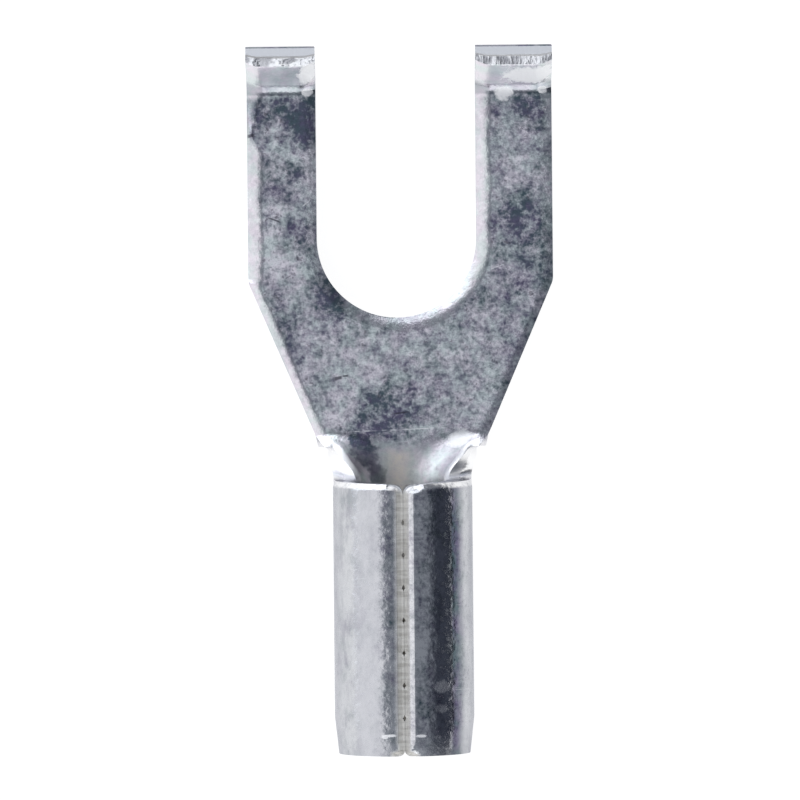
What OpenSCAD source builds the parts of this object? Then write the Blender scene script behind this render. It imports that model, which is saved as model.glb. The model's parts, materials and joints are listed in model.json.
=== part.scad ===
// Flanged fork terminal with a bare barrel, stamped, curled and rolled from one piece of tinned sheet.
// It lies on its back: the underside of the tongue and the bottom of the barrel are on z = 0.
// The tines point to +Y, and the seam and the turned-up tips face +Z.
// The origin is the centre of the stud, level with the underside. Sizes are in millimetres and degrees.

/* [Sheet] */
// Thickness of the sheet
sheet = 0.72; // [0.6:0.01:0.85]
// Width of the rounded strip that the cutting die leaves along the upper edges of the fork
edge_roll_width = 0.36; // [0.2:0.01:0.45]
// Depth of that strip at the edge
edge_roll_depth = 0.16; // [0.08:0.01:0.25]
// Width of the rounded strip along the shoulders and the neck
shoulder_roll_width = 0.24; // [0.12:0.01:0.35]
// Depth of that strip at the edge
shoulder_roll_depth = 0.11; // [0.06:0.01:0.2]

/* [Fork] */
// Width of the slot that takes the stud
slot_width = 4.3; // [3.7:0.1:5]
// Width over both tines
fork_width = 8.2; // [7.6:0.1:9.2]
// The body's centre line lies this far to the right of the stud, so the right tine is the wider one
body_shift = 0.1; // [0:0.02:0.2]
// From the stud's centre to where the tips turn up
tine_length = 3.8; // [3:0.1:5]
// How far the tips are turned up
flange_angle = 62; // [45:1:80]
// Inside radius of the turn
flange_bend_radius = 0.36; // [0.25:0.01:0.6]
// Straight length of the tips past the turn
flange_length = 0.92; // [0.5:0.02:1.4]
// Rounding along the outer corner of the cut ends
flange_end_roll = 0.13; // [0.06:0.01:0.2]

/* [Shoulders] */
// From the stud's centre back to where the sides start to taper
shoulder_start = 1.18; // [0.7:0.02:1.8]
// Length of the tapered stretch
shoulder_length = 4.44; // [3.8:0.02:5.2]
// Radius in plan where the sides turn into the taper
shoulder_radius = 0.5; // [0.2:0.05:1]
// The tongue's rear corners stand this far out past the neck
corner_step = 0.26; // [0.16:0.01:0.4]

/* [Neck] */
// Width of the sheet between the two notches, measured flat
neck_width = 3.86; // [3.2:0.02:4.1]
// The sheet starts to curl this far ahead of the notches
curl_lead = 0.44; // [0.3:0.01:0.7]
// Length of the notches, from the tongue's corners to the barrel's mouth
notch_length = 0.98; // [0.75:0.01:1.4]
// Radius at the front inner corners of the notches
notch_front_radius = 0.12; // [0.06:0.01:0.16]
// Radius at the rear inner corners of the notches
notch_rear_radius = 0.4; // [0.2:0.01:0.5]

/* [Barrel] */
// Outside diameter of the rolled barrel
barrel_diameter = 3.72; // [3.4:0.02:4.2]
// Length of the barrel
barrel_length = 7.17; // [6.4:0.01:8.5]
// Width of the rounded strip round the barrel's mouth, seen from the mouth
mouth_roll_width = 0.12; // [0.06:0.01:0.2]
// Length of that strip along the barrel
mouth_roll_length = 0.15; // [0.06:0.01:0.2]
// Length of the taper at the rear end, at the sides
rear_taper_length = 0.98; // [0.6:0.02:1.6]
// Depth of that taper at the rear end
rear_taper_depth = 0.11; // [0.08:0.01:0.24]
// The taper is centred this far above the barrel's axis, so it is shorter at the seam
rear_taper_lift = 0.05; // [0:0.01:0.07]

/* [Seam] */
// Gap between the two butted edges
seam_gap = 0.04; // [0.04:0.01:0.1]
// Width of the open groove above them, between the rounded lips
seam_width = 0.32; // [0.2:0.01:0.4]
// Steepness of the groove's flanks
flank_angle = 52; // [40:1:60]
// Radius of the lips
lip_radius = 0.27; // [0.1:0.01:0.32]
// Radius in plan of the corners at the mouth end of the seam
mouth_corner_radius = 0.26; // [0.1:0.01:0.35]
// Radius in plan of the corners at the rear end of the seam
rear_corner_radius = 0.15; // [0.08:0.01:0.3]

/* [Serrations] */
// Number of gripping grooves round the inside of the barrel
groove_count = 7; // [3:1:7]
// Distance from one groove to the next
groove_pitch = 0.86; // [0.6:0.02:0.9]
// Width of a groove at the bore
groove_width = 0.26; // [0.16:0.02:0.36]
// Depth of a groove
groove_depth = 0.08; // [0.04:0.01:0.12]

/* [Hidden] */
// Segments of a full circle in the preview
$fn = 96;
// Margin by which cutters run past what they cut
past = 1;
// Step all round where the neck and the bends are let into what they join
joint_step = 0.012;
// Depth to which the neck is let in
joint_depth = 0.25;
// Angle by which the bends are let in
joint_angle = 5;
// Radius of the arc that the die leaves on an edge, for each unit of its chord
roll_arc_ratio = 2;
// The lips are drawn this far proud, so that they cross the barrel's outside at a clear angle
lip_crossing = 0.01;
// Angle between the neck's edges and the ends of the rounded strip at the mouth
mouth_roll_margin = 6;

barrel_radius = barrel_diameter / 2;
bore_radius = barrel_radius - sheet;
mid_radius = barrel_radius - sheet / 2;
slot_radius = slot_width / 2;
neck_half = neck_width / 2;
corner_half = neck_half + corner_step;
fork_half = fork_width / 2;
notch_start = shoulder_start + shoulder_length;
curl_start = notch_start - curl_lead;
mouth = notch_start + notch_length;
taper_angle = atan((fork_half - corner_half) / shoulder_length);
bend_height = sheet + flange_bend_radius;
taper_slope = rear_taper_depth / rear_taper_length;
rear_radius = barrel_radius - rear_taper_depth;
seam_half = seam_width / 2;
gap_half = seam_gap / 2;

tin = [0.72, 0.73, 0.75];

// Points on an arc round a centre, from one angle to another
function arc(centre, radius, from, to, steps) = [
    for (i = [0 : steps])
        let (a = from + (to - from) * i / steps)
        centre + radius * [cos(a), sin(a)]
];

// A list of points in the plane with x turned round and its order reversed
function mirrored(points) = [
    for (i = [len(points) - 1 : -1 : 0]) [-points[i].x, points[i].y]
];

// What the die takes off an upper edge: the sheet is at x < 0, y < 0 and the corner is the origin
module edge_roll(width, depth) {
    chord = norm([width, depth]);
    radius = roll_arc_ratio * chord;
    inset = sqrt(radius ^ 2 - chord ^ 2 / 4);
    difference() {
        polygon([[-width, 0], [-width, past], [past, past], [past, -depth], [0, -depth]]);
        translate([-width / 2 - inset * depth / chord, -depth / 2 - inset * width / chord])
            circle(radius);
    }
}

// Cross-section of a tine, with both upper edges rolled, drawn smaller all round by an inset
module tine_section(left, right, inset = 0) {
    difference() {
        translate([left + inset, inset])
            square([right - left - 2 * inset, sheet - 2 * inset]);
        translate([right - inset, sheet - inset])
            edge_roll(edge_roll_width, edge_roll_depth);
        translate([left + inset, sheet - inset])
            mirror([1, 0])
                edge_roll(edge_roll_width, edge_roll_depth);
    }
}

// A tine from the stud's centre line to its turned-up tip, with the bend let into both straight parts
module tine(left, right) {
    translate([0, tine_length, 0])
        rotate([90, 0, 0])
            linear_extrude(tine_length)
                tine_section(left, right);
    translate([0, tine_length, bend_height]) {
        rotate([0, 90, 0])
            rotate_extrude(angle = flange_angle + 2 * joint_angle, start = -joint_angle)
                translate([bend_height, 0])
                    rotate(90)
                        tine_section(left, right, joint_step);
        rotate([flange_angle, 0, 0])
            flange(left, right);
    }
}

// The straight part of a tip, with the rounded outer corner of its cut end
module flange(left, right) {
    translate([0, flange_length, -bend_height])
        difference() {
            rotate([90, 0, 0])
                linear_extrude(flange_length)
                    tine_section(left, right);
            translate([left - past, 0, 0])
                rotate([90, 0, 90])
                    linear_extrude(right - left + 2 * past)
                        mirror([0, 1])
                            edge_roll(flange_end_roll, flange_end_roll);
        }
}

// Plan of the tongue behind the stud's centre line
function tongue_half_plan() = concat(
    [[fork_half, 0]],
    arc([fork_half - shoulder_radius, shoulder_radius * tan(taper_angle / 2) - shoulder_start],
        shoulder_radius, 0, -taper_angle, 4),
    [[sheet_half(curl_start), -curl_start]]
);

// The flat tongue behind the stud's centre line, with the round end of the slot
module tongue() {
    difference() {
        translate([body_shift, 0, 0])
            difference() {
                linear_extrude(sheet)
                    polygon(concat(tongue_half_plan(), mirrored(tongue_half_plan())));
                for (side = [0, 1])
                    mirror([side, 0, 0])
                        side_rolls();
            }
        translate([0, 0, -past])
            cylinder(h = sheet + 2 * past, r = slot_radius);
        rotate_extrude()
            translate([slot_radius, sheet])
                mirror([1, 0])
                    edge_roll(edge_roll_width, edge_roll_depth);
    }
}

// The rolled edges along one side of the tongue: the straight stretch, then the taper
module side_rolls() {
    translate([fork_half, past, sheet])
        rotate([90, 0, 0])
            linear_extrude(shoulder_start + 2 * past)
                edge_roll(edge_roll_width, edge_roll_depth);
    translate([fork_half, -shoulder_start, sheet])
        rotate([0, 0, -taper_angle])
            translate([0, past, 0])
                rotate([90, 0, 0])
                    linear_extrude(shoulder_length + 2 * past)
                        edge_roll(shoulder_roll_width, shoulder_roll_depth);
}

// Half of the sheet's flat width at a distance behind the stud: the taper, then the notch with its round corners
function sheet_half(distance) =
    distance <= notch_start
        ? fork_half - (distance - shoulder_start) * tan(taper_angle)
        : neck_half + max(
            notch_rise(distance - notch_start, notch_front_radius),
            notch_rise(mouth - distance, notch_rear_radius)
        );

// How far a round inner corner of a notch stands out past the neck, at a distance from the notch's end
function notch_rise(reach, radius) =
    let (inside = max(0, radius - max(0, reach)))
    radius - sqrt(radius ^ 2 - inside ^ 2);

// Curvature of the sheet across the neck, growing from flat to that of the barrel
function curl(distance) =
    let (part = max(0, min(1, (distance - curl_start) / (mouth - curl_start))))
    part ^ 2 * (3 - 2 * part) / mid_radius;

// Where a point of the curled sheet lies: across is measured along the sheet, height from its middle
function curled(distance, across, height) =
    let (bend = curl(distance), angle = bend * across * 180 / PI)
    [
        (bend > 0 ? sin(angle) / bend : across) - height * sin(angle),
        -distance,
        sheet / 2 + (bend > 0 ? (1 - cos(angle)) / bend : 0) + height * cos(angle)
    ];

// One section across the neck: the underside, one cut edge, the rolled corners, the upper side, the other edge
function neck_section(distance, half, inset, steps) =
    let (
        edge = half - inset,
        below = inset - sheet / 2,
        above = sheet / 2 - inset,
        rolled = edge - shoulder_roll_width,
        dropped = above - shoulder_roll_depth
    )
    concat(
        [for (i = [0 : steps]) curled(distance, edge * (2 * i / steps - 1), below)],
        [curled(distance, edge, dropped)],
        [for (i = [0 : steps]) curled(distance, rolled * (1 - 2 * i / steps), above)],
        [curled(distance, -edge, dropped)]
    );

// Distances behind the stud at which the neck is drawn, closer together where a notch turns its corner
function neck_stations() =
    let (
        turn = [for (i = [1 : 5]) 1 - cos(18 * i)],
        lead = [for (i = [1 : 7]) curl_start + curl_lead * i / 7],
        middle_start = notch_start + notch_front_radius,
        middle_length = notch_length - notch_front_radius - notch_rear_radius
    )
    concat(
        lead,
        [for (t = turn) notch_start + notch_front_radius * t],
        [for (i = [1 : 5]) middle_start + middle_length * i / 6],
        [for (i = [4 : -1 : 0]) mouth - notch_rear_radius * turn[i]]
    );

// The neck: the flat sheet curls up between the notches until it meets the barrel's mouth
module neck() {
    steps = 22;
    stations = neck_stations();
    sections = concat(
        [
            neck_section(curl_start - joint_depth, sheet_half(curl_start), joint_step, steps),
            neck_section(curl_start, sheet_half(curl_start), joint_step, steps)
        ],
        [for (d = stations) neck_section(d, sheet_half(d), 0, steps)],
        [
            neck_section(mouth, neck_half + notch_rear_radius, joint_step, steps),
            neck_section(mouth + joint_depth, neck_half + notch_rear_radius, joint_step, steps)
        ]
    );
    count = len(sections[0]);
    last = len(sections) - 1;
    translate([body_shift, 0, 0])
        polyhedron(
            points = [for (section = sections, point = section) point],
            faces = concat(
                section_faces(0, steps),
                [for (face = section_faces(last * count, steps)) [face[2], face[1], face[0]]],
                [
                    for (j = [0 : last - 1], i = [0 : count - 1], half = [0, 1])
                        let (a = j * count + i, b = j * count + (i + 1) % count)
                        half == 0 ? [a, a + count, b + count] : [a, b + count, b]
                ]
            )
        );
}

// Triangles that close a section, between its underside and its upper side, then at its two cut edges
function section_faces(first, steps) =
    let (
        upper = first + 2 * steps + 2,
        closing = [
            [first + steps, first + steps + 1, upper - steps],
            [upper, upper + 1, first]
        ]
    )
    concat(
        closing,
        [
            for (i = [0 : steps - 1], half = [0, 1])
                half == 0
                    ? [first + i, first + i + 1, upper - i - 1]
                    : [first + i, upper - i - 1, upper - i]
        ]
    );

// The rolled barrel, along its own axis: the mouth is at z = 0 and the seam is at +y
module barrel() {
    translate([body_shift, -mouth, barrel_radius])
        rotate([90, 0, 0])
            difference() {
                intersection() {
                    cylinder(h = barrel_length, r = barrel_radius);
                    translate([0, rear_taper_lift, -past])
                        cylinder(
                            h = barrel_length + 2 * past,
                            r1 = rear_radius + taper_slope * (barrel_length + past),
                            r2 = rear_radius - taper_slope * past
                        );
                }
                translate([0, 0, -past])
                    cylinder(h = barrel_length + 2 * past, r = bore_radius);
                serrations();
                mouth_roll();
                seam();
                seam_corners(mouth_corner_radius);
                translate([0, 0, barrel_length])
                    mirror([0, 0, 1])
                        seam_corners(rear_corner_radius);
            }
}

// Gripping grooves round the bore, centred in the barrel's length
module serrations() {
    first = (barrel_length - (groove_count - 1) * groove_pitch) / 2;
    for (i = [0 : groove_count - 1])
        translate([0, 0, first + i * groove_pitch])
            rotate_extrude()
                polygon([
                    [bore_radius / 2, -groove_width / 2],
                    [bore_radius, -groove_width / 2],
                    [bore_radius + groove_depth, -groove_width / 4],
                    [bore_radius + groove_depth, groove_width / 4],
                    [bore_radius, groove_width / 2],
                    [bore_radius / 2, groove_width / 2]
                ]);
}

// The rounded outer edge of the mouth, over the two wings that close the barrel
module mouth_roll() {
    rotate_extrude(angle = 180 - 2 * mouth_roll_margin, start = mouth_roll_margin)
        translate([barrel_radius, 0])
            mirror([0, 1])
                edge_roll(mouth_roll_width, mouth_roll_length);
}

// The butted seam: the lips round over into flanks, which meet at the gap between the two cut edges
module seam() {
    lip_distance = barrel_radius - lip_radius + lip_crossing;
    lip_turn = asin((seam_half + lip_radius * sin(flank_angle)) / lip_distance);
    lip_centre = lip_distance * [sin(lip_turn), cos(lip_turn)];
    lip = arc(lip_centre, lip_radius, 90 + flank_angle, 90 - lip_turn, 6);
    meeting = lip[0].y - (seam_half - gap_half) * tan(flank_angle);
    right_edge = concat(
        [[gap_half, bore_radius / 2], [gap_half, meeting]],
        lip,
        [(barrel_radius + past) * [sin(lip_turn), cos(lip_turn)]]
    );
    translate([0, 0, -past])
        linear_extrude(barrel_length + 2 * past)
            polygon(concat(right_edge, mirrored(right_edge)));
}

// Round corners of the two wings at an end of the seam
module seam_corners(radius) {
    corner = arc([gap_half + radius, radius], radius, 270, 180, 6);
    outline = concat([[gap_half + radius, -past]], corner);
    rotate([-90, 0, 0])
        mirror([0, 1, 0])
            linear_extrude(barrel_radius + past)
                polygon(concat(outline, mirrored(outline)));
}

module fork_terminal() {
    color(tin) {
        tongue();
        tine(slot_radius, body_shift + fork_half);
        tine(body_shift - fork_half, -slot_radius);
        neck();
        barrel();
    }
}

fork_terminal();
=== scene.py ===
"""A fork terminal, formed from a flat blank of tinned sheet and seen from straight above on a pale floor.

The blank is cut flat, with the edges that the cutting die leaves, and Geometry Nodes then form it: they fold
the tips up, curl the neck and roll the barrel. Sizes are in millimetres until the tree turns them to metres.
"""

import json
import math

import bpy
import numpy as np
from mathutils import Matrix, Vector
from mathutils.geometry import delaunay_2d_cdt


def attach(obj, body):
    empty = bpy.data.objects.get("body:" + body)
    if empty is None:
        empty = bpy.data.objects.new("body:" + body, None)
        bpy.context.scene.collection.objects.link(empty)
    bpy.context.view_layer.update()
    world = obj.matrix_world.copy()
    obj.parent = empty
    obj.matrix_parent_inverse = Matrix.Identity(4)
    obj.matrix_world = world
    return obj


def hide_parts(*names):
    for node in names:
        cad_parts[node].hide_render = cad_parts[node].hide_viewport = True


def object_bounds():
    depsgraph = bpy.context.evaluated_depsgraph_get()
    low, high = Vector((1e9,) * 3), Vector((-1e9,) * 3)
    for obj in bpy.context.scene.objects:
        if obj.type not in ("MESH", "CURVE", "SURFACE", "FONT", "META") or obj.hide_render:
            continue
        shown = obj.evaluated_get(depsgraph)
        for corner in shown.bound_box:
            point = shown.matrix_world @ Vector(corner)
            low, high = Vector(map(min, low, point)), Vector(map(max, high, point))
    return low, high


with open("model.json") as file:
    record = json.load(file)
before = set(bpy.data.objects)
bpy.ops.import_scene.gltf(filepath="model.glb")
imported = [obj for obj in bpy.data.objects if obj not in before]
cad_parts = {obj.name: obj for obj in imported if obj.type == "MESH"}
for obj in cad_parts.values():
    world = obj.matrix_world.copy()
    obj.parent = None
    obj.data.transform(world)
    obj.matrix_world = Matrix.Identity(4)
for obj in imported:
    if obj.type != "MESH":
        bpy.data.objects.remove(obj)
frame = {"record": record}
cad_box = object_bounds()
mounts = {mount["name"]: mount for mount in frame["record"]["mounts"]}

# Sizes that the frame gives
MM = 0.001
SHEET = mounts["screw_face"]["pos_m"][2] / MM
SLOT_RADIUS = mounts["stud_slot"]["dims"]["r_mm"]
BORE_RADIUS = mounts["wire_barrel"]["dims"]["r_mm"]
BARREL_LENGTH = mounts["wire_barrel"]["dims"]["length_mm"]
BODY_SHIFT = mounts["wire_barrel"]["pos_m"][0] / MM
REAR_END = -cad_box[0].y / MM
FORK_HALF = (cad_box[1].x - cad_box[0].x) / MM / 2
MOUTH = REAR_END - BARREL_LENGTH
BARREL_RADIUS = BORE_RADIUS + SHEET
MIDDLE_RADIUS = BORE_RADIUS + SHEET / 2

# Fork and shoulders
TINE_LENGTH = 3.8
FOLD_ANGLE = math.radians(62)
FOLD_RADIUS = 0.36
TIP_LENGTH = 0.92
SHOULDER_START = 1.18
SHOULDER_RADIUS = 0.5
CORNER_HALF = 2.19

# Neck
NECK_HALF = 1.93
NOTCH_LENGTH = 0.98
NOTCH_FRONT_RADIUS = 0.12
NOTCH_REAR_RADIUS = 0.4
MOUTH_LEAN = 0.1
CURL_LEAD = 0.44

# Seam and rear end of the barrel. Each lip's gentle slope runs between two distances from the seam.
SEAM_GAP_HALF = 0.0005
FLANK_ANGLE = math.radians(46)
LIP_ANGLE = math.radians(25)
LEFT_LIP = (0.18, 0.181)
RIGHT_LIP = (0.15, 0.28)
SEAM_FLOOR_HALF = 0.06
PAST_LIPS = 0.34
MOUTH_CORNER_RADIUS = 0.26
REAR_CORNER_RADIUS = 0.15
REAR_TAPER_LENGTH = 0.98
REAR_TAPER_DEPTH = 0.11
REAR_TAPER_LIFT = 0.05

# Gripping grooves round the bore
GROOVE_COUNT = 7
GROOVE_PITCH = 0.86
GROOVE_WIDTH = 0.26
GROOVE_DEPTH = 0.08
GROOVE_PINCH = 0.04

# Rounding of the upper edges: width and depth where the cut faces left, then where it faces right
UPPER_ROLLS = {
    "fork": (0.40, 0.17, 0.33, 0.036),
    "shoulder": (0.27, 0.12, 0.22, 0.05),
    "neck": (0.20, 0.10, 0.09, 0.05),
    "tip": (0.03, 0.02, 0.03, 0.02),
    "mouth": (0.05, 0.04, 0.05, 0.04),
    "seam": (0.03, 0.02, 0.03, 0.02),
    "rear": (0.05, 0.04, 0.05, 0.04),
}
ROLL_WANDER = 0.15

# Rounding of the lower edges: width and depth. The seam has its lips instead.
LOWER_ROLLS = {
    "fork": (0.05, 0.03),
    "shoulder": (0.05, 0.03),
    "neck": (0.06, 0.04),
    "tip": (0.13, 0.13),
    "mouth": (0.17, 0.09),
    "rear": (0.06, 0.05),
}
ROLL_ROUNDNESS = 0.5

# Dent in the left tine's outer edge: its place, its reach ahead and behind, and the share that it flattens
DENT_PLACE = 2.77
DENT_AHEAD = 1.1
DENT_BEHIND = 0.5
DENT_SHARE = 0.72

# How softly the matte flanks beside the seam end, and where the warm stain lies on the flat blank
FLANK_FADE = 0.025
WARM_START = -5.65
WARM_FADE = 0.2
WARM_CENTRE = -0.14
WARM_HALF = 0.42
WARM_BORE = 0.7

# Soft stain along the barrel's left side, on the flat blank
STAIN_ACROSS = -3.32
STAIN_HALF = 0.4

# Painted dark reflection along the barrel's right side: where it sets in and where it fades, from the seam
RIGHT_REFLECTION_START = (1.02, 1.2)
RIGHT_REFLECTION_END = (1.25, 1.65)

# Where the tongue's tarnish fades into the neck, and where the shade before the fold sets in
NECK_FADE = (-5.9, -5.1)
FOLD_SHADE = (2.3, 3.5)

# Widths along the edges: the painted shade line where a right-hand rounding starts, the painted
# highlights on the edges of the neck, the mouth and the right lip, and the painted dark reflection at the
# tips
ROLL_LINE_HALF = 0.05
NECK_BRIGHT = 0.2
RIM_BRIGHT = 0.16
RIM_CORNER = 0.1
LIP_BRIGHT = 0.06
TIP_DARK = 0.11

# Places on the flat blank painted bright as highlights and glints: the middle across and along, and half of
# each size
PAINTED_GLINT_SPOTS = [
    (-2.47, 4.98, 0.27, 0.5),
    (-2.47, 4.02, 0.15, 0.2),
    (3.5, 4.98, 0.72, 0.5),
    (2.82, 3.98, 0.26, 0.33),
    (3.85, 4.08, 0.13, 0.2),
    (1.58, -5.42, 0.36, 0.26),
]

# Wide dark stains, and lighter places, on the tongue and tines, given in the same way and with a strength
TONGUE_STAINS = [
    (-3.2, -2.4, 0.6, 1.2, 0.5),
    (-1.95, -1.6, 0.65, 0.9, 0.36),
    (-0.6, -5.0, 0.9, 0.95, 0.45),
    (-2.65, 2.9, 0.3, 0.7, 0.25),
    (3.5, 3.55, 0.4, 0.5, 0.35),
    (3.1, 0.5, 0.7, 1.0, 0.26),
    (-3.35, -0.35, 0.5, 0.9, -0.3),
    (-3.4, 1.6, 0.5, 0.5, -0.2),
    (0.65, -2.9, 0.9, 0.7, -0.16),
    (2.15, -2.6, 0.5, 0.8, -0.14),
]

# Painted shade on the left of the neck's trough, given as the highlight places are
NECK_SHADE_SPOTS = [
    (-1.15, -5.75, 0.45, 0.5),
    (-0.95, -6.4, 0.38, 0.45),
]

# Painted glints where the rear taper starts, and dull smudges on the barrel, given as the highlight places
# are
REAR_GLINTS = [
    (-4.37, -13.22, 0.17, 0.04),
    (-4.28, -13.26, 0.08, 0.05),
    (4.36, -13.23, 0.13, 0.04),
]
BARREL_SMUDGES = [
    (3.84, -11.95, 0.24, 0.18),
    (3.87, -12.53, 0.16, 0.12),
]

# Single marks on the upper face, where they lie on the finished part: start, end, half of the width
BRIGHT_MARKS = [
    # The first mark lies where the neck starts to curl: a painted highlight along that crease
    ((-2.1, -5.24), (1.95, -5.1), 0.02),
    ((2.45, -0.9), (2.97, -0.71), 0.02),
    ((-2.64, 0.76), (-2.26, 1.07), 0.022),
    ((3.06, -3.48), (3.2, -3.36), 0.06),
]
DARK_MARKS = [
    ((-1.76, -3.79), (-1.46, -3.74), 0.06),
    ((-1.52, -3.72), (-1.3, -3.7), 0.035),
    ((-4.02, 2.75), (-3.76, 2.79), 0.06),
    ((-3.5, 0.58), (-3.05, 0.42), 0.03),
    ((-0.2, -4.75), (0.35, -4.68), 0.03),
]

# Colours of the sheet's faces
BARREL_TIN = (0.62, 0.63, 0.65, 1)
COOL_TIN = (0.75, 0.81, 0.80, 1)
PINK_TIN = (0.86, 0.81, 0.86, 1)
# Bright tin for the bright marks and for the painted highlights and glints
BRIGHT_MARK_AND_HIGHLIGHT_TIN = (0.97, 0.97, 0.97, 1)
SCRATCHED_TIN = (0.82, 0.83, 0.85, 1)
WARM_TIN = (0.84, 0.78, 0.68, 1)
# Tarnish colours, which also carry the painted shade and dark reflections
BLUE_TARNISH_AND_SHADE = (0.085, 0.125, 0.145, 1)
VIOLET_TARNISH_AND_SHADE = (0.13, 0.118, 0.19, 1)
DARK_PIT = (0.06, 0.06, 0.08, 1)
# Colour of the painted shade inside the bore
BORE_SHADE = (0.16, 0.15, 0.13, 1)
DARK_FLANK = (0.59, 0.57, 0.52, 1)
PALE_FLANK = (0.82, 0.80, 0.75, 1)

# Colours of the cut edges: rubbed by the die and torn, along the sides and at the tips
RUBBED_SIDE = (0.46, 0.47, 0.49, 1)
RUBBED_TIP = (0.57, 0.58, 0.60, 1)
TORN_SIDE = (0.62, 0.62, 0.64, 1)
TORN_TIP = (0.92, 0.92, 0.92, 1)
TORN_HOLLOW = (0.18, 0.18, 0.20, 1)

# Tint of grazing reflections, and the heights of the fine relief in metres
GRAZING_TINT = (0.72, 0.72, 0.75, 1)
SHEET_RELIEF = 0.000011
TORN_RELIEF = 0.00003

# Light from the tent's parts
ROUND_THE_TOP = (0.29, 0.31, 0.35, 1)
OVERHEAD = (0.70, 0.73, 0.79, 1)
FRONT_WALL = (1.55, 1.58, 1.62, 1)
LEFT_WALL = (1.0, 1.0, 1.04, 1)
BACK_WALL = (1.55, 1.6, 1.7, 1)
OPEN_SIDE = (0.052, 0.059, 0.082, 1)

# Camera and floor
CAMERA_PLACE = (0.054, -4.369, 150)
CAMERA_TURN = math.radians(-0.525)
CAMERA_LENS = 249.85
FLOOR_REACH = 3.0
FLOOR_DROP = 0.00001

# Fineness of the mesh
POINT_SPACING = 0.1
SEAM_SPACING = 0.045
RING_STEPS = 6
WALL_STEPS = 6
CLOSEST_POINTS = 0.018
SHARP_ANGLE = math.radians(19)

NOTCH_START = MOUTH - NOTCH_LENGTH
CURL_START = NOTCH_START - CURL_LEAD
FOLD_MIDDLE = FOLD_RADIUS + SHEET / 2
TIP_END = TINE_LENGTH + FOLD_MIDDLE * FOLD_ANGLE + TIP_LENGTH
TAPER_ANGLE = math.atan((FORK_HALF - CORNER_HALF) / (NOTCH_START - SHOULDER_START))
SEAM_EDGE_TURN = math.asin(SEAM_GAP_HALF / MIDDLE_RADIUS)
WING_HALF = (math.pi - SEAM_EDGE_TURN) * MIDDLE_RADIUS


def arc(centre, radius, start, end):
    """Points on an arc from one angle to another, in degrees, at most about a point spacing apart."""
    sweep = math.radians(abs(end - start))
    steps = max(6, round(sweep * radius / POINT_SPACING))
    turns = np.radians(np.linspace(start, end, steps + 1))
    return [(centre[0] + radius * math.cos(t), centre[1] + radius * math.sin(t)) for t in turns]


def filled(corners, spacing=POINT_SPACING):
    """The corners of an open line with points between them, about a spacing apart."""
    points = [corners[0]]
    for start, end in zip(corners, corners[1:]):
        length = math.dist(start, end)
        steps = max(1, round(length / spacing))
        for i in range(1, steps + 1):
            part = i / steps
            points.append((start[0] + (end[0] - start[0]) * part, start[1] + (end[1] - start[1]) * part))
    return points


def pinch(along):
    """How far a gripping groove pulls the seam's edge back at a place along the blank."""
    return GROOVE_PINCH * (float(groove_depth(np.array(along))) / GROOVE_DEPTH) ** 3


def right_side():
    """The right-hand stretches of the blank's outline, from the barrel's rear end to the tine's tip."""
    rear_corner = (WING_HALF - REAR_CORNER_RADIUS, REAR_CORNER_RADIUS - REAR_END)
    mouth_corner = (WING_HALF - MOUTH_CORNER_RADIUS, -MOUTH - MOUTH_CORNER_RADIUS)
    notch_rear = (NECK_HALF + NOTCH_REAR_RADIUS, NOTCH_REAR_RADIUS - MOUTH + MOUTH_LEAN)
    notch_front = (NECK_HALF + NOTCH_FRONT_RADIUS, -NOTCH_START - NOTCH_FRONT_RADIUS)
    shoulder_rise = SHOULDER_RADIUS * math.tan(TAPER_ANGLE / 2)
    shoulder = (FORK_HALF - SHOULDER_RADIUS, shoulder_rise - SHOULDER_START)
    seam = arc(rear_corner, REAR_CORNER_RADIUS, -90, 0) + arc(mouth_corner, MOUTH_CORNER_RADIUS, 0, 90)
    neck = arc(notch_rear, NOTCH_REAR_RADIUS, -90, -180) + arc(notch_front, NOTCH_FRONT_RADIUS, 180, 90)
    turn = arc(shoulder, SHOULDER_RADIUS, -math.degrees(TAPER_ANGLE), 0)
    tongue_corner = (CORNER_HALF, -NOTCH_START)
    return [
        ("seam", [(x - pinch(y), y) for x, y in filled(seam, SEAM_SPACING)]),
        ("mouth", filled([seam[-1], neck[0]])),
        ("neck", filled(neck + [tongue_corner])),
        ("shoulder", filled([tongue_corner] + turn)),
        ("fork", filled([turn[-1], (FORK_HALF, TIP_END)])),
    ]


def outline_stretches():
    """The blank's whole outline as named stretches, anticlockwise, with the sheet on the left of each."""
    right = right_side()
    left = [(name, [(-x, y) for x, y in reversed(points)]) for name, points in reversed(right)]
    slot_left = -BODY_SHIFT - SLOT_RADIUS
    slot_right = -BODY_SHIFT + SLOT_RADIUS
    slot_end = arc((-BODY_SHIFT, 0), SLOT_RADIUS, 0, -180)
    slot = filled([(slot_right, TIP_END)] + slot_end + [(slot_left, TIP_END)])
    right_tip = filled([right[-1][1][-1], slot[0]])
    left_tip = filled([slot[-1], left[0][1][0]])
    rear = filled([left[-1][1][-1], right[0][1][0]])
    return right + [("tip", right_tip), ("fork", slot), ("tip", left_tip)] + left + [("rear", rear)]


def nearest_edge(points, line):
    """The distance from each point to an open line, and how far the cut there faces right, from -1 to 1."""
    start = np.asarray(line[:-1])
    step = np.asarray(line[1:]) - start
    nearest = np.full(len(points), np.inf)
    facing = np.zeros(len(points))
    for origin, along in zip(start, step):
        offset = points - origin
        part = np.clip(offset @ along / (along @ along), 0, 1)
        gap = np.hypot(*(offset - part[:, None] * along).T)
        facing = np.where(gap < nearest, along[1] / math.hypot(*along), facing)
        nearest = np.minimum(nearest, gap)
    return nearest, facing


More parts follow.
